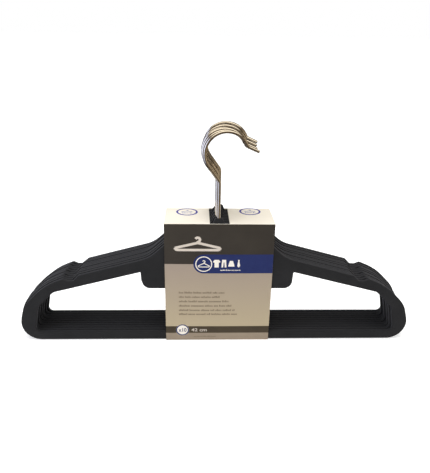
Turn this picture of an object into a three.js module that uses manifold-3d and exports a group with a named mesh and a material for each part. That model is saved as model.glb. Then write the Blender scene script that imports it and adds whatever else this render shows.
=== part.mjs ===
// A shop pack of ten flocked clothes hangers with swivel hooks, bundled in a card sleeve.
// Millimetres. +X runs along the hangers, +Y from the front hanger to the rear one, +Z up.
// The origin is on the ground, under the middle of the pack.
import * as THREE from 'three';
import { mergeVertices } from 'three/addons/utils/BufferGeometryUtils.js';
import Module from 'manifold-3d';

// The pack: hangers stand one behind another, each pushed a little to one side. Their hooks
// are squeezed together towards the tips, and some have slid down a little in their necks.
const HANGER_PITCH = 4.65;
const HANGER_SHIFTS = [0.0, -1.4, -2.0, -0.9, -2.0, -0.8, 0.1, -1.0, 0.5, 2.0];
const HOOK_FAN_DEG = 3;
const HOOK_DROPS = [2.3, 2.3, 1.3, 2.1, 2.3, 0.7, 1.5, 2.3, 0, 0.8];

// The moulded body: half the outline as [x, z, corner radius], from the neck down to the bar.
const BODY_THICKNESS = 4.3;
const BODY_BOTTOM = 0.8;
const NECK_TOP = 142;
const SHOULDER_TOP = 136;
const OUTLINE = [
  [3.7, NECK_TOP, 2.2],
  [6, SHOULDER_TOP, 1.2],
  [29, SHOULDER_TOP, 12],
  [71.5, 97.9, 32],
  [144.8, 78.1, 3.5],
  [150.8, 71.8, 2.4],
  [156.5, 71.7, 5],
  [161.4, 74.1, 3.2],
  [181.5, 65.8, 65],
  [204.3, 43, 30],
  [216.5, BODY_BOTTOM, 20],
];
// The opening above the trouser bar, half of it, from under the centre plate to the bar.
const BAR_TOP = 10.4;
const PLATE_BOTTOM = 63.5;
const BAR_OPENING = [
  [78.6, PLATE_BOTTOM, 8.5],
  [79.6, 82.6, 1.2],
  [172.4, 58.6, 10],
  [189.9, 41.1, 16],
  [196, BAR_TOP, 5],
];
// The slot for ties and belts in the centre plate, half of it.
const TIE_SLOT = [
  [46, 86, 5],
  [46, 74, 5],
];

// The bore that the hook turns in, and the window that its head sits in.
const BORE_RADIUS = 1.75;
const BORE_SIDES = 16;
const WINDOW_HALF_WIDTH = 3.2;
const WINDOW_BOTTOM = 121.5;
const WINDOW_TOP = 126.8;

// The hook: a bent wire, described as a wire former makes it, from its head upwards.
const WIRE_RADIUS = 1.5;
const WIRE_SIDES = 8;
const HEAD_RADIUS = 2;
const HEAD_SIDES = 12;
const HEAD_BOTTOM = 124.3;
const HEAD_TOP = 126.3;
const WIRE_FOOT = 125.2;
const WIRE_BENDS = [
  { straight: 54.8 },
  { radius: 6.6, turn: 36 },
  { straight: 16 },
  { radius: 21.1, turn: -193.5 },
  { radius: 3.2, turn: 43.5 },
  { straight: 11.2 },
];

// The sleeve: one band of card, glued shut, open at both sides and slotted on top.
const SLEEVE_X = 1.0;
const SLEEVE_WIDTH = 112;
const SLEEVE_DEPTH = 48.4;
const SLEEVE_HEIGHT = 136.9;
const SLEEVE_SLOT_WIDTH = 20;
const CARD = 0.5;

const ARC_STEP = THREE.MathUtils.degToRad(20);
const OVERSHOOT = 1;

const wasm = await Module();
wasm.setup();

function solidFrom(geometry) {
  const bare = geometry.index ? geometry.toNonIndexed() : geometry.clone();
  bare.deleteAttribute('normal');
  bare.deleteAttribute('uv');
  const merged = mergeVertices(bare, 1e-4);
  return new wasm.Manifold(new wasm.Mesh({
    numProp: 3,
    vertProperties: new Float32Array(merged.attributes.position.array),
    triVerts: new Uint32Array(merged.index.array),
  }));
}

function geometryFrom(solid) {
  const mesh = solid.getMesh();
  const geometry = new THREE.BufferGeometry();
  geometry.setAttribute('position', new THREE.BufferAttribute(mesh.vertProperties, 3));
  geometry.setIndex(new THREE.BufferAttribute(mesh.triVerts, 1));
  geometry.computeVertexNormals();
  return geometry;
}

// Replaces each corner of a closed outline by an arc of its own radius.
function roundCorners(corners) {
  const points = [];
  corners.forEach(([x, y, radius], i) => {
    const corner = new THREE.Vector2(x, y);
    const before = corners[(i + corners.length - 1) % corners.length];
    const after = corners[(i + 1) % corners.length];
    const back = new THREE.Vector2(before[0] - x, before[1] - y).normalize();
    const ahead = new THREE.Vector2(after[0] - x, after[1] - y).normalize();
    const halfAngle = Math.acos(THREE.MathUtils.clamp(back.dot(ahead), -1, 1)) / 2;
    const middle = back.clone().add(ahead).normalize();
    const centre = corner.clone().addScaledVector(middle, radius / Math.sin(halfAngle));
    const first = corner.clone().addScaledVector(back, radius / Math.tan(halfAngle));
    const turn = Math.sign(ahead.cross(back)) * (Math.PI - 2 * halfAngle);
    const steps = Math.max(1, Math.ceil(Math.abs(turn) / ARC_STEP));
    for (let step = 0; step <= steps; step++) {
      points.push(first.clone().rotateAround(centre, (turn * step) / steps));
    }
  });
  return points;
}

// Closes a half outline with its mirror image across the middle of the hanger.
// The halves run clockwise, and a shape with holes is drawn the other way round.
function mirrored(half) {
  const otherHalf = half.map(([x, z, radius]) => [-x, z, radius]).reverse();
  return roundCorners([...half, ...otherHalf]).reverse();
}

// Stands an extruded shape upright, so that its thickness lies along Y around y = 0.
function upright(shape, thickness) {
  const geometry = new THREE.ExtrudeGeometry(shape, { depth: thickness, bevelEnabled: false });
  geometry.rotateX(Math.PI / 2);
  geometry.translate(0, thickness / 2, 0);
  return geometry;
}

function hangerBody() {
  const plate = new THREE.Shape(mirrored(OUTLINE));
  plate.holes.push(new THREE.Path(mirrored(BAR_OPENING)));
  plate.holes.push(new THREE.Path(mirrored(TIE_SLOT)));
  plate.holes.push(new THREE.Path([
    new THREE.Vector2(-WINDOW_HALF_WIDTH, WINDOW_BOTTOM),
    new THREE.Vector2(WINDOW_HALF_WIDTH, WINDOW_BOTTOM),
    new THREE.Vector2(WINDOW_HALF_WIDTH, WINDOW_TOP),
    new THREE.Vector2(-WINDOW_HALF_WIDTH, WINDOW_TOP),
  ]));
  const boreBottom = WINDOW_TOP - OVERSHOOT;
  const boreLength = NECK_TOP + OVERSHOOT - boreBottom;
  const bore = new THREE.CylinderGeometry(BORE_RADIUS, BORE_RADIUS, boreLength, BORE_SIDES);
  bore.rotateX(Math.PI / 2);
  bore.translate(0, 0, boreBottom + boreLength / 2);
  return geometryFrom(solidFrom(upright(plate, BODY_THICKNESS)).subtract(solidFrom(bore)));
}

// A wire's centre line, walked from its foot through straights and bends in the XZ plane.
class WirePath extends THREE.Curve {
  constructor(foot, bends) {
    super();
    this.stations = [{ x: 0, z: foot, heading: Math.PI / 2 }];
    for (const bend of bends) this.walk(bend);
  }

  walk({ straight = 0, radius = 0, turn = 0 }) {
    const radians = THREE.MathUtils.degToRad(turn);
    const steps = Math.max(1, Math.ceil(Math.abs(radians) / ARC_STEP));
    const chord = turn ? 2 * radius * Math.sin(Math.abs(radians) / steps / 2) : straight;
    for (let step = 0; step < steps; step++) {
      const { x, z, heading } = this.stations.at(-1);
      const course = heading + radians / steps / 2;
      this.stations.push({
        x: x + chord * Math.cos(course),
        z: z + chord * Math.sin(course),
        heading: heading + radians / steps,
      });
    }
  }

  get steps() {
    return this.stations.length - 1;
  }

  getPoint(t, target = new THREE.Vector3()) {
    const place = Math.min(t * this.steps, this.steps - 1e-9);
    const from = this.stations[Math.floor(place)];
    const to = this.stations[Math.floor(place) + 1];
    const share = place - Math.floor(place);
    return target.set(
      THREE.MathUtils.lerp(from.x, to.x, share),
      0,
      THREE.MathUtils.lerp(from.z, to.z, share),
    );
  }

  getTangent(t, target = new THREE.Vector3()) {
    const { heading } = this.stations[Math.round(t * this.steps)];
    return target.set(Math.cos(heading), 0, Math.sin(heading));
  }

  // Every station becomes one ring of the swept wire.
  getUtoTmapping(u) {
    return u;
  }
}

function wireHook() {
  const path = new WirePath(WIRE_FOOT, WIRE_BENDS);
  const section = new THREE.Shape();
  for (let side = 0; side < WIRE_SIDES; side++) {
    const angle = ((side + 0.5) / WIRE_SIDES) * 2 * Math.PI;
    const [x, y] = [WIRE_RADIUS * Math.cos(angle), WIRE_RADIUS * Math.sin(angle)];
    if (side) section.lineTo(x, y);
    else section.moveTo(x, y);
  }
  const wire = new THREE.ExtrudeGeometry(section, { steps: path.steps, extrudePath: path });
  const headLength = HEAD_TOP - HEAD_BOTTOM;
  const head = new THREE.CylinderGeometry(HEAD_RADIUS, HEAD_RADIUS, headLength, HEAD_SIDES);
  head.rotateX(Math.PI / 2);
  head.translate(0, 0, (HEAD_BOTTOM + HEAD_TOP) / 2);
  return geometryFrom(solidFrom(wire).add(solidFrom(head)));
}

function cardSleeve() {
  const outside = new THREE.BoxGeometry(SLEEVE_WIDTH, SLEEVE_DEPTH, SLEEVE_HEIGHT);
  const insideDepth = SLEEVE_DEPTH - 2 * CARD;
  const inside = new THREE.BoxGeometry(
    SLEEVE_WIDTH + 2 * OVERSHOOT,
    insideDepth,
    SLEEVE_HEIGHT - 2 * CARD,
  );
  const slot = new THREE.BoxGeometry(SLEEVE_SLOT_WIDTH, insideDepth, SLEEVE_HEIGHT);
  slot.translate(0, 0, SLEEVE_HEIGHT / 2);
  const band = solidFrom(outside).subtract(solidFrom(inside)).subtract(solidFrom(slot));
  const geometry = geometryFrom(band);
  geometry.translate(0, 0, SLEEVE_HEIGHT / 2);
  return geometry;
}

function piece(name, geometry, color, roughness, metalness) {
  const material = new THREE.MeshStandardMaterial({ color, roughness, metalness });
  const mesh = new THREE.Mesh(geometry, material);
  mesh.name = name;
  return mesh;
}

const pack = new THREE.Group();

const sleeve = piece('card_sleeve', cardSleeve(), 0xb3a48c, 0.55, 0);
sleeve.position.x = SLEEVE_X;
pack.add(sleeve);

const LAST = HANGER_SHIFTS.length - 1;
HANGER_SHIFTS.forEach((shift, i) => {
  const number = String(i + 1).padStart(2, '0');
  const hanger = new THREE.Group();
  hanger.position.set(shift, (i - LAST / 2) * HANGER_PITCH, 0);
  hanger.add(piece(`hanger_body_${number}`, hangerBody(), 0x242527, 0.95, 0));
  const hook = piece(`hook_${number}`, wireHook(), 0xc9c6c1, 0.15, 1);
  hook.position.z = -HOOK_DROPS[i];
  hook.rotation.z = THREE.MathUtils.degToRad(HOOK_FAN_DEG * (1 - (2 * i) / LAST));
  hanger.add(hook);
  pack.add(hanger);
});

export default pack;
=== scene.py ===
# A shop pack of ten flocked clothes hangers, bundled in a printed card sleeve.
# Metres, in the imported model's frame: +X along the hangers, +Y to the rear, +Z up.
import math
import random

import bmesh
import bpy
from mathutils import Matrix, Vector


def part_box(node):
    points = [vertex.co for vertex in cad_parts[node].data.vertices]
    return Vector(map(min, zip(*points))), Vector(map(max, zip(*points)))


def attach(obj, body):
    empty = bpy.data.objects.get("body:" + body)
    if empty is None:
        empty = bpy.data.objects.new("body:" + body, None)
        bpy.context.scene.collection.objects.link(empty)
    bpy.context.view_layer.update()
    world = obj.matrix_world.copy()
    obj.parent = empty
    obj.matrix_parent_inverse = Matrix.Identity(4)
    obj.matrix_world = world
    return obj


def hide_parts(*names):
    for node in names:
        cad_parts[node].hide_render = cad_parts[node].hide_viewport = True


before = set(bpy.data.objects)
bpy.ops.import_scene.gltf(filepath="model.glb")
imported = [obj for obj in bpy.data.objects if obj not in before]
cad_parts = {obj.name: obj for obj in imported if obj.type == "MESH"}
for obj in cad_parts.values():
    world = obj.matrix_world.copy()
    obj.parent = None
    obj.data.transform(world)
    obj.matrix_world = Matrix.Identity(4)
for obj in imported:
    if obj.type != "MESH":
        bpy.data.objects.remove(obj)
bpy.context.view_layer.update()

MM = 0.001
NUMBERS = [f"{n:02d}" for n in range(1, 11)]
sleeve_low, sleeve_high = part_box("card_sleeve")


# Nodes and colours

def linear(hex_colour):
    """An sRGB hex colour as linear red, green, blue and alpha."""
    channels = [int(hex_colour[i:i + 2], 16) / 255 for i in (1, 3, 5)]
    return [c / 12.92 if c <= 0.04045 else ((c + 0.055) / 1.055) ** 2.4 for c in channels] + [1]


def add(tree, kind, inputs=None, **settings):
    """Adds a node with its settings; each input takes a value or another node's output."""
    made = tree.nodes.new("ShaderNode" + kind)
    for name, value in settings.items():
        setattr(made, name, value)
    for socket, value in (inputs or {}).items():
        if isinstance(value, bpy.types.NodeSocket):
            tree.links.new(value, made.inputs[socket])
        else:
            made.inputs[socket].default_value = value
    return made


def material(name):
    """A new material: its tree, its Principled shader and its Object coordinates."""
    made = bpy.data.materials.new(name)
    made.use_nodes = True
    tree = made.node_tree
    place = add(tree, "TexCoord").outputs["Object"]
    return made, tree, tree.nodes["Principled BSDF"], place


def across(size):
    """The scale of a noise whose grains are that many metres across."""
    return 1 / size


def mottled(tree, place, grain, low, high, contrast=0.25):
    """A colour that wanders between two hex colours in patches of a given size."""
    patches = add(tree, "TexNoise", {"Vector": place, "Scale": across(grain), "Detail": 4.0})
    ramp = add(tree, "ValToRGB", {"Fac": patches.outputs["Fac"]})
    ramp.color_ramp.elements[0].position = 0.5 - contrast
    ramp.color_ramp.elements[0].color = linear(low)
    ramp.color_ramp.elements[1].position = 0.5 + contrast
    ramp.color_ramp.elements[1].color = linear(high)
    return ramp.outputs["Color"]


def flock_material():
    # Black nylon flock, blown upright onto glue: it drinks the light face on, glows a little
    # at grazing angles, and shows faint patches where the pile was brushed another way.
    made, tree, shader, place = material("black_nylon_flock")
    brushed = mottled(tree, place, 22 * MM, "#202021", "#262627")
    # The rounded edges are painted a little lighter: partly rubbed, thin flock, partly a painted
    # sheen along the edges.
    edge = add(tree, "Attribute", attribute_name="edge")
    rubbed_and_sheen = add(tree, "Mix", {"Factor": edge.outputs["Fac"], "A": brushed,
                               "B": linear("#2a2a2c")}, data_type="RGBA")
    # Single fibres are 0.02 mm thick; the tufts are drawn 0.8 mm wide so that they show.
    tufts = add(tree, "TexNoise", {"Vector": place, "Scale": across(0.8 * MM), "Detail": 3.0})
    nap = add(tree, "Bump", {"Height": tufts.outputs["Fac"], "Strength": 0.5,
                             "Distance": 0.25 * MM})
    tree.links.new(rubbed_and_sheen.outputs["Result"], shader.inputs["Base Color"])
    tree.links.new(nap.outputs["Normal"], shader.inputs["Normal"])
    shader.inputs["Roughness"].default_value = 0.95
    shader.inputs["Specular IOR Level"].default_value = 0.15
    shader.inputs["Sheen Weight"].default_value = 0.12
    shader.inputs["Sheen Roughness"].default_value = 0.45
    shader.inputs["Sheen Tint"].default_value = linear("#c9ccd6")
    return made


def chrome_material():
    # Bright nickel and chrome plating on drawn steel wire: a mirror with a slightly wavy
    # skin, and duller patches where it was handled.
    made, tree, shader, place = material("chrome_plated_wire")
    handled = add(tree, "TexNoise", {"Vector": place, "Scale": across(9 * MM), "Detail": 5.0})
    polish = add(tree, "MapRange", {"Value": handled.outputs["Fac"], "From Min": 0.35,
                                    "From Max": 0.7, "To Min": 0.05, "To Max": 0.12})
    drawn = add(tree, "TexNoise", {"Vector": place, "Scale": across(6 * MM), "Detail": 2.0})
    skin = add(tree, "Bump", {"Height": drawn.outputs["Fac"], "Strength": 0.1,
                              "Distance": 0.1 * MM})
    tree.links.new(polish.outputs["Result"], shader.inputs["Roughness"])
    tree.links.new(skin.outputs["Normal"], shader.inputs["Normal"])
    tree.links.new(mottled(tree, place, 14 * MM, "#bfb9b1", "#cfcac3"),
                   shader.inputs["Base Color"])
    shader.inputs["Metallic"].default_value = 1.0
    return made


# The front of the sleeve, in millimetres above the ground, from the artwork's bands.
DARK_BAND_BOTTOM = 92.7
STRIPE_TOP = 17.9
STRIPE_BOTTOM = 9.3
BAND_EDGE_BLUR = 0.15


def board_finish(tree, shader, place, ink):
    """Satin varnished printing on board: paper fibres just show, and the sheen wanders."""
    fibres = add(tree, "TexNoise", {"Vector": place, "Scale": across(0.7 * MM), "Detail": 4.0})
    wander = add(tree, "TexNoise", {"Vector": place, "Scale": across(28 * MM), "Detail": 2.0})
    skin = add(tree, "Bump", {"Height": fibres.outputs["Fac"], "Strength": 0.12,
                              "Distance": 0.08 * MM})
    wave = add(tree, "Bump", {"Height": wander.outputs["Fac"], "Strength": 0.25,
                              "Distance": 0.8 * MM, "Normal": skin.outputs["Normal"]})
    varnish = add(tree, "MapRange", {"Value": wander.outputs["Fac"], "To Min": 0.36,
                                     "To Max": 0.5})
    tree.links.new(ink, shader.inputs["Base Color"])
    tree.links.new(varnish.outputs["Result"], shader.inputs["Roughness"])
    tree.links.new(wave.outputs["Normal"], shader.inputs["Normal"])
    shader.inputs["Specular IOR Level"].default_value = 0.4


def sleeve_front_material():
    # Offset-printed folding boxboard, satin varnished: flat inks with a slight mottle,
    # a taupe ground that warms towards the bottom, and crisp dark bands.
    made, tree, shader, place = material("printed_boxboard_front")
    height = add(tree, "SeparateXYZ", {"Vector": place}).outputs["Z"]
    rise = add(tree, "MapRange", {"Value": height, "From Min": STRIPE_TOP * MM,
                                  "From Max": DARK_BAND_BOTTOM * MM})
    ground = add(tree, "Mix", {"Factor": rise.outputs["Result"], "A": linear("#b1a285"),
                               "B": linear("#9b8c7e")}, data_type="RGBA")

    def over(below, start, end, ink):
        """Lays an ink over what is below it, from one height up to another."""
        lower = add(tree, "MapRange", {"Value": height, "From Min": (start - BAND_EDGE_BLUR) * MM,
                                       "From Max": (start + BAND_EDGE_BLUR) * MM})
        upper = add(tree, "MapRange", {"Value": height, "From Min": (end - BAND_EDGE_BLUR) * MM,
                                       "From Max": (end + BAND_EDGE_BLUR) * MM,
                                       "To Min": 1.0, "To Max": 0.0})
        inside = add(tree, "Math", {0: lower.outputs["Result"], 1: upper.outputs["Result"]},
                     operation="MULTIPLY")
        return add(tree, "Mix", {"Factor": inside.outputs["Value"], "A": below, "B": ink},
                   data_type="RGBA").outputs["Result"]

    charcoal = mottled(tree, place, 35 * MM, "#332e28", "#3c362f")
    olive = mottled(tree, place, 20 * MM, "#443a2c", "#4b4131")
    foot = mottled(tree, place, 20 * MM, "#918270", "#988976")
    banded = over(ground.outputs["Result"], DARK_BAND_BOTTOM, 200, charcoal)
    banded = over(banded, STRIPE_BOTTOM, STRIPE_TOP, olive)
    banded = over(banded, -2, STRIPE_BOTTOM, foot)
    board_finish(tree, shader, place, banded)
    return made


def plain_board_material(name, low, high):
    # One ink all over a panel under satin varnish: an even tone that drifts a little, so the
    # card reads as printed board and not as paint.
    made, tree, shader, place = material(name)
    board_finish(tree, shader, place, mottled(tree, place, 30 * MM, low, high))
    return made


def raw_board_material():
    # The unprinted grey-cream side and the cut edges of the board: matt, fibrous, speckled.
    made, tree, shader, place = material("raw_board")
    fibres = add(tree, "TexNoise", {"Vector": place, "Scale": across(0.5 * MM), "Detail": 5.0})
    skin = add(tree, "Bump", {"Height": fibres.outputs["Fac"], "Strength": 0.3,
                              "Distance": 0.1 * MM})
    tree.links.new(mottled(tree, place, 1.2 * MM, "#cfc2a6", "#ded3bb"),
                   shader.inputs["Base Color"])
    tree.links.new(skin.outputs["Normal"], shader.inputs["Normal"])
    shader.inputs["Roughness"].default_value = 0.85
    return made


def ink_material(name, low, high):
    # A printed spot colour under the same satin varnish as the board, slightly mottled.
    made, tree, shader, place = material(name)
    board_finish(tree, shader, place, mottled(tree, place, 6 * MM, low, high))
    return made


FLOCK = flock_material()
CHROME = chrome_material()
FRONT_PRINT = sleeve_front_material()
# Ivory ink on the top panels: a warm white, satin.
IVORY_PRINT = plain_board_material("ivory_printed_board", "#f7efdd", "#fbf4e6")
# Taupe ink all over the rear, as on the lower front.
REAR_PRINT = plain_board_material("taupe_printed_board", "#9f907f", "#a79885")
RAW_BOARD = raw_board_material()
BLUE_INK = ink_material("blue_ink", "#13245f", "#182964")
BRIGHT_BLUE_INK = ink_material("bright_blue_ink", "#1f2590", "#262c98")
CREAM_INK = ink_material("cream_ink", "#e4ddd2", "#ece6dc")
CHARCOAL_INK = ink_material("charcoal_ink", "#332e28", "#3c362f")
TITLE_INK = ink_material("warm_grey_ink", "#c6bbae", "#cec3b6")
TEXT_INK = ink_material("faint_brown_ink", "#7a6c57", "#80725d")
SLATE_INK = ink_material("slate_ink", "#7a80b4", "#858bba")


# Making pieces

def finished(name, mesh, slot, body, *materials, replaces=None, smooth=35):
    """A piece from a finished mesh, riding on its body; the slot naming its finish is not used."""
    mesh.name = name
    for one in materials:
        mesh.materials.append(one)
    mesh.shade_smooth()
    mesh.set_sharp_from_angle(angle=math.radians(smooth))
    piece = bpy.data.objects.new(name, mesh)
    bpy.context.scene.collection.objects.link(piece)
    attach(piece, body)
    if replaces:
        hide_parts(replaces)
    return piece


def evaluated(thing):
    """The mesh of a curve, text or modified object, with the object itself removed."""
    bpy.context.scene.collection.objects.link(thing)
    bpy.context.view_layer.update()
    seen = thing.evaluated_get(bpy.context.evaluated_depsgraph_get())
    mesh = bpy.data.meshes.new_from_object(seen)
    bpy.data.objects.remove(thing)
    return mesh


def tidied(mesh):
    """Merges a mesh's doubles and turns its faces outwards."""
    bm = bmesh.new()
    bm.from_mesh(mesh)
    bmesh.ops.remove_doubles(bm, verts=bm.verts, dist=0.002 * MM)
    bmesh.ops.recalc_face_normals(bm, faces=bm.faces)
    bm.to_mesh(mesh)
    bm.free()
    return mesh


ARC_STEP = math.radians(7)


def round_corners(corners):
    """A closed outline whose corners, each x, z and a radius, become arcs."""
    points = []
    for i, (x, z, radius) in enumerate(corners):
        corner = Vector((x, z))
        back = (Vector(corners[i - 1][:2]) - corner).normalized()
        ahead = (Vector(corners[(i + 1) % len(corners)][:2]) - corner).normalized()
        half = back.angle(ahead) / 2
        centre = corner + (back + ahead).normalized() * radius / math.sin(half)
        first = corner + back * radius / math.tan(half) - centre
        turn = math.copysign(math.pi - 2 * half, ahead.x * back.y - ahead.y * back.x)
        steps = max(1, math.ceil(abs(turn) / ARC_STEP))
        points += [centre + Matrix.Rotation(turn * s / steps, 2) @ first for s in range(steps + 1)]
    return points


def mirrored(half):
    """Closes a half outline with its mirror image."""
    return round_corners(half + [[-x, z, radius] for x, z, radius in reversed(half)])


def flat_curve(loops, thickness, edge_radius=0.0):
    """A filled shape of that thickness in XY, in millimetres, its edges rounded if asked."""
    curve = bpy.data.curves.new("outline", "CURVE")
    curve.dimensions = "2D"
    curve.fill_mode = "BOTH"
    curve.extrude = thickness / 2 - edge_radius
    curve.bevel_depth = edge_radius
    curve.bevel_resolution = 3
    curve.offset = -edge_radius
    for loop in loops:
        spline = curve.splines.new("POLY")
        spline.points.add(len(loop) - 1)
        for point, (x, z) in zip(spline.points, loop):
            point.co = (x, z, 0, 1)
        spline.use_cyclic_u = True
    return evaluated(bpy.data.objects.new("outline", curve))


def upright(mesh):
    """Stands a flat mesh in millimetres up in XZ, in metres."""
    mesh.transform(Matrix.Rotation(math.pi / 2, 4, "X"))
    mesh.transform(Matrix.Scale(MM, 4))
    return mesh


# Hangers: the moulded body. Half outlines as [x, z, corner radius] in millimetres.

BODY_THICKNESS = 4.3
BODY_EDGE_RADIUS = 0.7
BODY_OUTLINE = [
    [3.7, 142, 2.2],
    [6, 136, 1.2],
    [29, 136, 12],
    [71.5, 97.9, 32],
    [144.8, 78.1, 3.5],
    [150.8, 71.8, 2.4],
    [156.5, 71.7, 5],
    [161.4, 74.1, 3.2],
    [181.5, 65.8, 65],
    [204.3, 43, 30],
    [216.4, 0.8, 20],
]
BAR_OPENING = [
    [78.6, 63.5, 8.5],
    [79.6, 82.6, 1.2],
    [172.4, 58.6, 10],
    [189.9, 41.1, 16],
    [196, 10.4, 5],
]
TIE_SLOT = [[46, 86, 5], [46, 74, 5]]
HEAD_WINDOW = [[3.2, 126.8, 0.4], [3.2, 121.5, 0.4]]
BORE_RADIUS = 1.75
BORE = (125.8, 143)
BORE_SIDES = 24


def bored(mesh):
    """Cuts the hook's bore down into the neck, from the window up."""
    bm = bmesh.new()
    bmesh.ops.create_cone(bm, cap_ends=True, segments=BORE_SIDES, radius1=BORE_RADIUS,
                          radius2=BORE_RADIUS, depth=BORE[1] - BORE[0])
    bmesh.ops.translate(bm, verts=bm.verts, vec=(0, 0, sum(BORE) / 2))
    bmesh.ops.scale(bm, verts=bm.verts, vec=(MM, MM, MM))
    drill_mesh = bpy.data.meshes.new("drill")
    bm.to_mesh(drill_mesh)
    bm.free()
    drill = bpy.data.objects.new("drill", drill_mesh)
    bpy.context.scene.collection.objects.link(drill)
    plate = bpy.data.objects.new("plate", mesh)
    cut = plate.modifiers.new("bore", "BOOLEAN")
    cut.operation = "DIFFERENCE"
    cut.solver = "EXACT"
    cut.object = drill
    result = evaluated(plate)
    bpy.data.objects.remove(drill)
    return result


def mark_edges(mesh):
    """Writes how far each point is round from the flat faces to the edge, from 0 to 1."""
    flat = (BODY_THICKNESS / 2 - BODY_EDGE_RADIUS) * MM
    edge = mesh.attributes.new("edge", "FLOAT", "POINT")
    flat_face = BODY_THICKNESS / 2 * MM
    for vertex, value in zip(mesh.vertices, edge.data):
        value.value = min(1.0, (flat_face - abs(vertex.co.y)) / (flat_face - flat))
    return mesh


def hanger_body_mesh():
    """One body in metres: the filled outline, its openings, and the bore in its neck."""
    loops = [mirrored(half) for half in (BODY_OUTLINE, BAR_OPENING, TIE_SLOT, HEAD_WINDOW)]
    flat = flat_curve([loops[0]] + [loop[::-1] for loop in loops[1:]],
                      BODY_THICKNESS, BODY_EDGE_RADIUS)
    return mark_edges(tidied(bored(tidied(upright(flat)))))


# Hooks: a bent wire, followed from its upset head to its tip. Millimetres and degrees.

WIRE_RADIUS = 1.5
WIRE_SIDES = 28
HEAD = (124.3, 126.3)
HEAD_RADIUS = 2.0
HEAD_CHAMFER = 0.3
WIRE_BENDS = [
    {"straight": 53.7},
    {"radius": 6.6, "turn": 36},
    {"straight": 16},
    {"radius": 21.1, "turn": -193.5},
    {"radius": 3.2, "turn": 43.5},
    {"straight": 10.7},
]
# At rest the front hook is turned by the fan's angle and the rear one by as much the other
# way, and each hook has slid down in its neck by its drop.
HOOK_FAN = 3
HOOK_DROPS = [2.3, 2.3, 1.3, 2.1, 2.3, 0.7, 1.5, 2.3, 0, 0.8]
BEND_STEP = 5
TIP_ROUNDING = 0.5
TIP_STEPS = (0.4, 0.35, 0.25)
TIP_NARROWING = 0.45


def wire_hook_mesh(turn_degrees):
    """One hook in XZ, swivelled by a small angle, its head and tip closed."""
    bm = bmesh.new()
    foot = bmesh.ops.create_circle(bm, cap_ends=True, segments=WIRE_SIDES,
                                   radius=HEAD_RADIUS - HEAD_CHAMFER)["verts"]
    bmesh.ops.translate(bm, verts=foot, vec=(0, 0, HEAD[0]))
    ring = list(bm.edges)

    def push(ring, forward, grow=1.0):
        """Extrudes the open ring forward, and widens or narrows it about its centre."""
        grown = bmesh.ops.extrude_edge_only(bm, edges=ring)["geom"]
        verts = [g for g in grown if isinstance(g, bmesh.types.BMVert)]
        bmesh.ops.translate(bm, verts=verts, vec=forward)
        middle = sum((v.co for v in verts), Vector()) / len(verts)
        bmesh.ops.scale(bm, verts=verts, vec=(grow, grow, grow),
                        space=Matrix.Translation(-middle))
        return [g for g in grown if isinstance(g, bmesh.types.BMEdge)]

    up = Vector((0, 0, 1))
    narrowed = HEAD_RADIUS - HEAD_CHAMFER
    ring = push(ring, up * HEAD_CHAMFER, HEAD_RADIUS / narrowed)
    ring = push(ring, up * (HEAD[1] - HEAD[0] - 2 * HEAD_CHAMFER))
    ring = push(ring, up * HEAD_CHAMFER, narrowed / HEAD_RADIUS)
    ring = push(ring, Vector(), WIRE_RADIUS / narrowed)
    place = Vector((0, 0, HEAD[1]))
    heading = 90.0
    for bend in WIRE_BENDS:
        ahead = Vector((math.cos(math.radians(heading)), 0, math.sin(math.radians(heading))))
        if "straight" in bend:
            ring = push(ring, ahead * bend["straight"])
            place += ahead * bend["straight"]
            continue
        left = Vector((-ahead.z, 0, ahead.x))
        side = math.copysign(1, bend["turn"])
        centre = place + left * bend["radius"] * side
        angle = math.radians(bend["turn"])
        spun = bmesh.ops.spin(bm, geom=ring, cent=centre, axis=(0, -1, 0), angle=angle,
                              steps=math.ceil(abs(bend["turn"]) / BEND_STEP))
        ring = [g for g in spun["geom_last"] if isinstance(g, bmesh.types.BMEdge)]
        place = centre + Matrix.Rotation(-angle, 3, "Y") @ (place - centre)
        heading += bend["turn"]
    ahead = Vector((math.cos(math.radians(heading)), 0, math.sin(math.radians(heading))))
    for share in TIP_STEPS:
        ring = push(ring, ahead * TIP_ROUNDING * share, 1 - TIP_NARROWING * (1 - share))
    bmesh.ops.contextual_create(bm, geom=ring)
    bmesh.ops.rotate(bm, verts=bm.verts, cent=(0, 0, 0),
                     matrix=Matrix.Rotation(math.radians(turn_degrees), 3, "Z"))
    bmesh.ops.scale(bm, verts=bm.verts, vec=(MM, MM, MM))
    bmesh.ops.recalc_face_normals(bm, faces=bm.faces)
    mesh = bpy.data.meshes.new("hook")
    bm.to_mesh(mesh)
    bm.free()
    return mesh


def make_hangers():
    """Ten bodies and hooks; the hooks fan together, and some have slid down in their necks."""
    body_mesh = hanger_body_mesh()
    last = len(NUMBERS) - 1
    for i, number in enumerate(NUMBERS):
        low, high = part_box(f"hanger_body_{number}")
        place = Matrix.Translation(((low.x + high.x) / 2, (low.y + high.y) / 2, 0))
        body = body_mesh.copy()
        body.transform(place)
        finished(f"flocked_body_{number}", body, "flocked_plastic", "pack", FLOCK,
                 replaces=f"hanger_body_{number}")
        hook = wire_hook_mesh(HOOK_FAN * (1 - 2 * i / last))
        hook.transform(place @ Matrix.Translation((0, 0, -HOOK_DROPS[i] * MM)))
        finished(f"chrome_hook_{number}", hook, "hook_wire", f"hook_{number}", CHROME,
                 replaces=f"hook_{number}")


make_hangers()


# The sleeve: one strip of card folded round the hangers, its end flap glued inside the rear.

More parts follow.
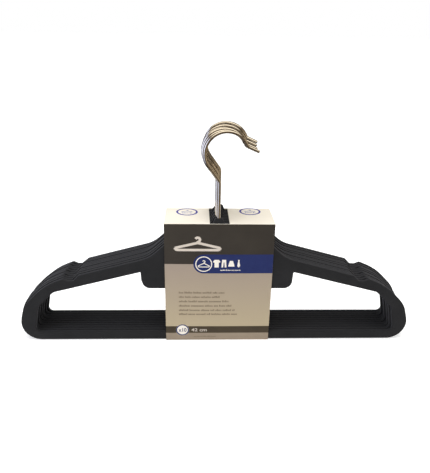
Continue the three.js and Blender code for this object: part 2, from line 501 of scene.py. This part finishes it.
CARD = 0.5
SLOT_WIDTH = 20
FOLD_RADIUS = 0.8
GLUE_FLAP_TOP = 22
SEAM_HEIGHT = 6
FRONT_BOW = 0.7
REAR_BOW = 0.4
TOP_CROWN = 0.7
SLEEVE_LOW = sleeve_low / MM
SLEEVE_HIGH = sleeve_high / MM
MIDDLE = (SLEEVE_LOW.x + SLEEVE_HIGH.x) / 2
HALF_WIDTH = (SLEEVE_HIGH.x - SLEEVE_LOW.x) / 2
COLUMNS = 18
ROW_CUTS = 15
CLEAR_OF_SLOT = 2
LONG_EDGE = 10
NEAR = 0.01
BOW_SPAN = 124


def panel_bow(x, z):
    """The share by which a tall panel bows out at x from its middle and z from the ground."""
    return math.cos(math.pi * x / BOW_SPAN) * math.sin(math.pi * min(1, max(0, z / SLEEVE_HIGH.z)))


def top_crown(x, y):
    """How far a top panel stands up at x from its middle, between the fold lines."""
    from_slot = (abs(x) - SLOT_WIDTH / 2) / (HALF_WIDTH - SLOT_WIDTH / 2)
    rise = 0.3 + 0.7 * math.sin(math.pi / 2 * min(1, max(0, from_slot)))
    return TOP_CROWN * rise * math.cos(math.pi * y / (SLEEVE_HIGH.y - SLEEVE_LOW.y))


def strip_outline():
    """The strip's outer side round the pack, as corners in Y and Z."""
    return [
        (SLEEVE_HIGH.y - CARD, GLUE_FLAP_TOP),
        (SLEEVE_HIGH.y - CARD, SLEEVE_LOW.z),
        (SLEEVE_LOW.y, SLEEVE_LOW.z),
        (SLEEVE_LOW.y, SLEEVE_HIGH.z),
        (SLEEVE_HIGH.y, SLEEVE_HIGH.z),
        (SLEEVE_HIGH.y, SEAM_HEIGHT),
    ]


def strip_stations():
    """Places along X where the card is divided, with the slot's two sides among them."""
    slot_sides = [MIDDLE - SLOT_WIDTH / 2, MIDDLE + SLOT_WIDTH / 2]
    width = SLEEVE_HIGH.x - SLEEVE_LOW.x
    even = [SLEEVE_LOW.x + width * step / COLUMNS for step in range(COLUMNS + 1)]
    clear = [x for x in even if min(abs(x - side) for side in slot_sides) > CLEAR_OF_SLOT]
    return sorted(clear + slot_sides)


def folded_strip():
    """The outer side of the strip, its folds rounded, divided so that it can bow."""
    bm = bmesh.new()
    stations = strip_stations()
    corners = [bm.verts.new((stations[0], y, z)) for y, z in strip_outline()]
    for first, second in zip(corners, corners[1:]):
        bm.edges.new((first, second))
    bmesh.ops.bevel(bm, geom=corners[1:-1], offset=FOLD_RADIUS, segments=4,
                    profile=0.5, affect="VERTICES", material=-1)
    long_edges = [edge for edge in bm.edges if edge.calc_length() > LONG_EDGE]
    bmesh.ops.subdivide_edges(bm, edges=long_edges, cuts=ROW_CUTS)
    edges = list(bm.edges)
    for before, station in zip(stations, stations[1:]):
        grown = bmesh.ops.extrude_edge_only(bm, edges=edges)["geom"]
        verts = [g for g in grown if isinstance(g, bmesh.types.BMVert)]
        bmesh.ops.translate(bm, verts=verts, vec=(station - before, 0, 0))
        edges = [g for g in grown if isinstance(g, bmesh.types.BMEdge)]
    return bm


def cut_slot(bm):
    """Removes the top's middle, from fold to fold."""
    inside = []
    for face in bm.faces:
        centre = face.calc_center_median()
        on_the_top = centre.z > SLEEVE_HIGH.z - FOLD_RADIUS / 2
        between_the_folds = abs(centre.y) < SLEEVE_HIGH.y - CARD
        if on_the_top and between_the_folds and abs(centre.x - MIDDLE) < SLOT_WIDTH / 2:
            inside.append(face)
    bmesh.ops.delete(bm, geom=inside, context="FACES")


def colour_and_bow(bm):
    """Gives each panel its ink, then bows the tall panels out and crowns the top."""
    for face in bm.faces:
        normal, centre = face.normal, face.calc_center_median()
        if abs(normal.z) > 0.75:
            face.material_index = 1 if centre.z > SLEEVE_HIGH.z / 2 else 2
        else:
            face.material_index = 0 if centre.y < 0 else 2
    for vert in bm.verts:
        x, y, z = vert.co
        if y < SLEEVE_LOW.y + NEAR:
            vert.co.y -= FRONT_BOW * panel_bow(x - MIDDLE, z)
        elif y > SLEEVE_HIGH.y - CARD - NEAR:
            vert.co.y += REAR_BOW * panel_bow(x - MIDDLE, z)
        if z > SLEEVE_HIGH.z - NEAR:
            vert.co.z += top_crown(x - MIDDLE, y)


def make_sleeve():
    """The strip given its thickness inwards, with bare board inside and on its cut edges."""
    bm = folded_strip()
    cut_slot(bm)
    bmesh.ops.recalc_face_normals(bm, faces=bm.faces)
    colour_and_bow(bm)
    bmesh.ops.scale(bm, verts=bm.verts, vec=(MM, MM, MM))
    mesh = bpy.data.meshes.new("sleeve")
    bm.to_mesh(mesh)
    bm.free()
    for one in (FRONT_PRINT, IVORY_PRINT, REAR_PRINT, RAW_BOARD):
        mesh.materials.append(one)
    folded = bpy.data.objects.new("folded", mesh)
    card = folded.modifiers.new("card", "SOLIDIFY")
    card.thickness = CARD * MM
    card.offset = -1
    card.material_offset = 3
    card.material_offset_rim = 3
    finished("folded_card_sleeve", evaluated(folded), "printed_card", "pack",
             replaces="card_sleeve", smooth=40)


make_sleeve()


# The artwork: thin layers of ink, in millimetres from the sleeve's middle and the ground.

INK = 0.04
INK_FACET = 8


def on_front(x, z, lift):
    """A place on the front, at x from its middle and z up, lifted off the card."""
    return (x + MIDDLE, SLEEVE_LOW.y - FRONT_BOW * panel_bow(x, z) - lift, z)


def on_rear(x, z, lift):
    """A place on the rear, with x to the right of someone facing it."""
    return (MIDDLE - x, SLEEVE_HIGH.y + REAR_BOW * panel_bow(-x, z) + lift, z)


def on_top(x, y, lift):
    """A place on the top, at x from its middle and y to the rear."""
    return (x + MIDDLE, y, SLEEVE_HIGH.z + top_crown(x, y) + lift)


def print_layer(name, meshes, side, colour, layer=1):
    """Joins flat meshes, lays them on one side of the sleeve and prints them in one colour."""
    bm = bmesh.new()
    for mesh in meshes:
        bm.from_mesh(mesh)
    for axis in (0, 1):
        places = [vert.co[axis] for vert in bm.verts]
        at = math.ceil(min(places) / INK_FACET) * INK_FACET
        while at < max(places):
            plane = Vector((0, 0, 0))
            plane[axis] = 1
            bmesh.ops.bisect_plane(bm, geom=bm.verts[:] + bm.edges[:] + bm.faces[:],
                                   plane_co=plane * at, plane_no=plane)
            at += INK_FACET
    for vert in bm.verts:
        x, up, lift = vert.co
        vert.co = Vector(side(x, up, lift + layer * INK - INK / 4)) * MM
    bmesh.ops.recalc_face_normals(bm, faces=bm.faces)
    mesh = bpy.data.meshes.new(name)
    bm.to_mesh(mesh)
    bm.free()
    finished(name, mesh, "printed_card", "pack", colour)


def patch(*loops):
    """A flat printed shape; loops after the first are its holes."""
    return flat_curve(loops, INK)


CIRCLE_SIDES = 48


def circle(x, z, radius):
    spoke = Vector((radius, 0))
    turns = [2 * math.pi * i / CIRCLE_SIDES for i in range(CIRCLE_SIDES)]
    return [Vector((x, z)) + Matrix.Rotation(turn, 2) @ spoke for turn in turns]


def ring(x, z, radius, width):
    return patch(circle(x, z, radius), circle(x, z, radius - width)[::-1])


def bar(x, z, width, height, radius):
    """A rounded bar, from its left end and its middle height."""
    top, bottom = z + height / 2, z - height / 2
    return round_corners([[x, bottom, radius], [x + width, bottom, radius],
                          [x + width, top, radius], [x, top, radius]])


def strokes(lines, width):
    """Flat rounded strokes along lines of points."""
    curve = bpy.data.curves.new("strokes", "CURVE")
    curve.dimensions = "3D"
    curve.bevel_depth = width / 2
    curve.bevel_resolution = 2
    curve.use_fill_caps = True
    for line in lines:
        spline = curve.splines.new("POLY")
        spline.points.add(len(line) - 1)
        for point, (x, z) in zip(spline.points, line):
            point.co = (x, z, 0, 1)
    mesh = evaluated(bpy.data.objects.new("strokes", curve))
    mesh.transform(Matrix.Diagonal((1, 1, INK / width, 1)))
    return mesh


def hanger_sign(x, z, width, height, stroke):
    """A coat hanger in outline: a hook on a closed frame with rounded ends."""
    hook = [Vector((x, z + height * 0.8)) + Matrix.Rotation(math.radians(25 * step), 2)
            @ Vector((-height * 0.17, 0)) for step in range(-1, -10, -1)]
    stem = [(x + height * 0.17, z + height * 0.8), (x, z + height * 0.63), (x, z + height * 0.5)]
    half = [[width / 2, height * 0.16, stroke], [width / 2, 0, stroke]]
    outer = round_corners([[0, height * 0.56, stroke]] + half
                          + [[-a, b, c] for a, b, c in reversed(half)])
    outline = [Vector((x, z)) + point for point in outer]
    return strokes([hook + [Vector(point) for point in stem[1:]], outline + outline[:2]], stroke)


def figures(text, x, z, width, height):
    """Plain figures, set in a box from its lower left corner."""
    font = bpy.data.curves.new("figures", "FONT")
    font.body = text
    font.extrude = INK / 2
    font.offset = 0.015
    mesh = evaluated(bpy.data.objects.new("figures", font))
    wide = [vert.co.x for vert in mesh.vertices]
    tall = [vert.co.y for vert in mesh.vertices]
    grow_x = width / (max(wide) - min(wide))
    grow_z = height / (max(tall) - min(tall))
    mesh.transform(Matrix.Translation((x - min(wide) * grow_x, z - min(tall) * grow_z, 0))
                   @ Matrix.Diagonal((grow_x, grow_z, 1, 1)))
    return mesh


def letter(x, z, width, height):
    """A plain upright mark that stands in for a letter too small to read."""
    return patch([Vector((x, z)), Vector((x + width, z)),
                  Vector((x + width, z + height)), Vector((x, z + height))])


def dummy_text(seed, left, lines, height):
    """Lines of make-believe words in plain upright marks, as middle heights and right ends."""
    draw = random.Random(seed)
    marks = []
    for z, right in lines:
        x = left
        while right - x > height:
            for _ in range(draw.randint(3, 9)):
                width = height * draw.uniform(0.3, 0.6)
                if x + width > right:
                    break
                tall = height * draw.choice((0.7, 0.7, 0.7, 1.0))
                marks.append(letter(x, z - height / 2, width, tall))
                x += width + 0.14 * height
            x += 0.4 * height
    return marks


# Small signs of clothes, as half outlines from the neck or waist down.
SHIRT = [[1.2, 8.8, 0.3], [2.1, 8.8, 0.3], [4.0, 6.6, 0.3], [2.9, 5.5, 0.3], [2.2, 6.2, 0.3],
         [2.2, 0.2, 0.3]]
TROUSERS = [[2.1, 8.8, 0.2], [2.6, 0.2, 0.2], [0.9, 0.2, 0.2], [0.3, 6.0, 0.2]]
SKIRT = [[1.6, 7.6, 0.2], [3.4, 1.2, 0.5]]
TIE = [[1.0, 8.8, 0.2], [0.6, 7.2, 0.2], [1.5, 2.0, 0.3], [0.25, 0.2, 0.1]]


def clothes_signs(left, base, spacing):
    """A shirt, trousers, a skirt and a tie in a row."""
    signs = []
    for step, half in enumerate((SHIRT, TROUSERS, SKIRT, TIE)):
        place = Vector((left + spacing * step, base))
        signs.append(patch([point + place for point in mirrored(half)]))
    return signs


def print_front():
    tab = bar(-26.4, 92.9, HALF_WIDTH + 36, 21.4, 10.6)
    tab = [Vector((min(point.x, HALF_WIDTH - 0.05), point.y)) for point in tab]
    print_layer("front_blue_tab", [patch(tab)], on_front, BLUE_INK)
    print_layer("front_tab_signs",
                [ring(-15.7, 92.8, 8.7, 1.0), hanger_sign(-15.7, 89.6, 11.6, 7.4, 0.9)]
                + clothes_signs(-2.4, 88.9, 7.6)
                + dummy_text(5, 1.5, [(86.0, 23)], 1.2), on_front, CREAM_INK, layer=2)
    print_layer("front_title_sign", [hanger_sign(-22.1, 108.6, 46, 14, 2.7)],
                on_front, TITLE_INK)
    lines = [(59.5, 9.7), (54.3, 4.9), (49.0, 12.2), (43.6, 16.8), (38.2, 18.7), (33.3, 21.6)]
    print_layer("front_small_print", dummy_text(8, -41.7, lines, 2.3), on_front, TEXT_INK)
    print_layer("front_badge", [patch(circle(-38.1, 13.2, 7.1))], on_front, CREAM_INK)
    print_layer("front_badge_count",
                [ring(-38.1, 13.2, 7.0, 1.2), figures("x10", -42.4, 10.8, 8.6, 4.8)],
                on_front, BLUE_INK, layer=2)
    print_layer("front_size", [figures("42 cm", -28.5, 11.3, 16.8, 3.9)], on_front, TITLE_INK)
    print_layer("front_foot_print", dummy_text(3, -26, [(4.65, -1.3)], 1.2),
                on_front, TEXT_INK)


def print_top():
    for side, x, y in (("left", -33.4, 10.4), ("right", 33.6, 12.7)):
        print_layer(f"top_{side}_ring", [ring(x, y, 11.4, 1.9)], on_top, BRIGHT_BLUE_INK)
        print_layer(f"top_{side}_marks",
                    [hanger_sign(x, y - 0.6, 11, 6.5, 0.8)]
                    + dummy_text(11, x - 5.5, [(y - 4.0, x + 5.5)], 2.2), on_top, SLATE_INK)


def print_rear():
    band = bar(-HALF_WIDTH + 0.05, 124.6, 2 * HALF_WIDTH - 0.1, 23, 0.1)
    print_layer("rear_dark_band", [patch(band)], on_rear, CHARCOAL_INK)
    print_layer("rear_title_sign", [hanger_sign(-30, 119, 34, 11, 1.7)],
                on_rear, TITLE_INK, layer=2)
    lines = [(101 - 5.2 * row, 42 - 9 * (row % 3)) for row in range(8)]
    print_layer("rear_small_print", dummy_text(21, -46, lines, 2.1), on_rear, TEXT_INK)
    label = bar(8, 38, 38, 24, 1.5)
    print_layer("rear_label", [patch(label)], on_rear, CREAM_INK)
    draw = random.Random(13)
    stripes = []
    x = 12
    while x < 42:
        width = draw.choice((0.4, 0.7, 1.1))
        stripes.append(patch(bar(x, 38, width, 17, 0.05)))
        x += width + draw.choice((0.5, 0.8, 1.2))
    print_layer("rear_label_stripes", stripes, on_rear, CHARCOAL_INK, layer=2)
    print_layer("rear_badge", [patch(circle(-36, 38, 9))], on_rear, CREAM_INK)
    print_layer("rear_badge_sign", [ring(-36, 38, 8.7, 1.0), hanger_sign(-36, 35, 12, 7.4, 0.9)],
                on_rear, BLUE_INK, layer=2)


print_front()
print_top()
print_rear()


# The stage: a glowing white table, soft studio light, and the camera.

TABLE_GLOW = 0.5


def soft_light(name, place, target, width, height, watts, tint="#ffffff", mirrored=True):
    """A rectangular softbox that the camera doesn't see, and metal only if it is mirrored."""
    data = bpy.data.lights.new(name, "AREA")
    data.shape = "RECTANGLE"
    data.size = width
    data.size_y = height
    data.energy = watts
    data.color = linear(tint)[:3]
    lamp = bpy.data.objects.new(name, data)
    lamp.location = place
    lamp.rotation_euler = (Vector(target) - Vector(place)).to_track_quat("-Z", "Y").to_euler()
    lamp.visible_camera = False
    lamp.visible_glossy = mirrored
    bpy.context.scene.collection.objects.link(lamp)


def white_table():
    bm = bmesh.new()
    bmesh.ops.create_grid(bm, x_segments=2, y_segments=2, size=30)
    mesh = bpy.data.meshes.new("table")
    bm.to_mesh(mesh)
    bm.free()
    # White acrylic with light under it, matt, so that the pack's shadow is only a trace.
    made, tree, shader, place = material("white_acrylic_table")
    tree.links.new(mottled(tree, place, 0.5, "#f4f4f3", "#f8f8f7"), shader.inputs["Base Color"])
    shader.inputs["Roughness"].default_value = 0.9
    shader.inputs["Specular IOR Level"].default_value = 0.1
    shader.inputs["Emission Color"].default_value = linear("#ffffff")
    shader.inputs["Emission Strength"].default_value = TABLE_GLOW
    mesh.materials.append(made)
    table = bpy.data.objects.new("table", mesh)
    table.visible_glossy = False
    bpy.context.scene.collection.objects.link(table)


def studio_world():
    # White behind the table and a soft even fill. Polished metal mirrors a brown room
    # instead: darker to the rear, with a window to the left and a lamp to the right.
    world = bpy.data.worlds.new("studio")
    bpy.context.scene.world = world
    world.use_nodes = True
    tree = world.node_tree
    tree.nodes.clear()
    path = add(tree, "LightPath")
    way = add(tree, "SeparateXYZ", {"Vector": add(tree, "TexCoord").outputs["Generated"]})

    def lit_side(below, axis, start, end, colour):
        """Blends a colour in from one value of a direction to another."""
        share = add(tree, "MapRange", {"Value": way.outputs[axis], "From Min": start,
                                       "From Max": end}, interpolation_type="SMOOTHSTEP")
        return add(tree, "Mix", {"Factor": share.outputs["Result"], "A": below,
                                 "B": linear(colour)}, data_type="RGBA").outputs["Result"]

    room = lit_side(linear("#584e40"), "Y", -0.93, -0.6, "#241a12")
    room = lit_side(room, "X", 0.68, 0.88, "#85775f")
    room = lit_side(room, "Z", 0.3, 0.6, "#5a503e")
    room = lit_side(room, "X", -0.68, -0.88, "#ccd3ea")
    room = lit_side(room, "Z", 0.55, 0.78, "#fff4de")
    room = lit_side(room, "Y", 0.12, 0.4, "#150e09")
    room = lit_side(room, "Y", 0.8, 0.96, "#756958")
    mirrored_room = add(tree, "Background", {"Color": room, "Strength": 2.4})
    fill = add(tree, "Background", {"Color": linear("#ffffff"), "Strength": 0.62})
    white = add(tree, "Background", {"Color": linear("#ffffff"), "Strength": 1.0})
    lit = add(tree, "MixShader", {0: path.outputs["Is Glossy Ray"],
                                  1: fill.outputs[0], 2: mirrored_room.outputs[0]})
    seen = add(tree, "MixShader", {0: path.outputs["Is Camera Ray"],
                                   1: lit.outputs[0], 2: white.outputs[0]})
    add(tree, "OutputWorld", {"Surface": seen.outputs[0]})


CAMERA_PLACE = Vector((-22.9, -489.4, 316.0)) * MM
CAMERA_YAW, CAMERA_PITCH, CAMERA_ROLL = (math.radians(a) for a in (2.37, 22.47, 1.11))
CAMERA_LENS = 38.03


def add_camera():
    data = bpy.data.cameras.new("camera")
    data.sensor_width = 36
    data.lens = CAMERA_LENS
    data.clip_start = 0.01
    camera = bpy.data.objects.new("camera", data)
    turn = (Matrix.Rotation(-CAMERA_YAW, 4, "Z")
            @ Matrix.Rotation(math.pi / 2 - CAMERA_PITCH, 4, "X")
            @ Matrix.Rotation(CAMERA_ROLL, 4, "Z"))
    camera.matrix_world = Matrix.Translation(CAMERA_PLACE) @ turn
    bpy.context.scene.collection.objects.link(camera)
    bpy.context.scene.camera = camera


white_table()
studio_world()
soft_light("overhead_softbox", (-0.1, -0.15, 1.3), (0, 0, 0.1), 0.9, 0.7, 9.5,
           mirrored=False)
soft_light("left_strip_softbox", (-0.62, -0.28, 0.32), (0, 0, 0.15), 0.22, 0.6, 0.9, "#dfe8ff")
soft_light("right_strip_softbox", (0.7, -0.2, 0.3), (0, 0, 0.15), 0.1, 0.6, 0.25, "#ffe9cf")
add_camera()
bpy.context.scene.view_settings.view_transform = "Standard"
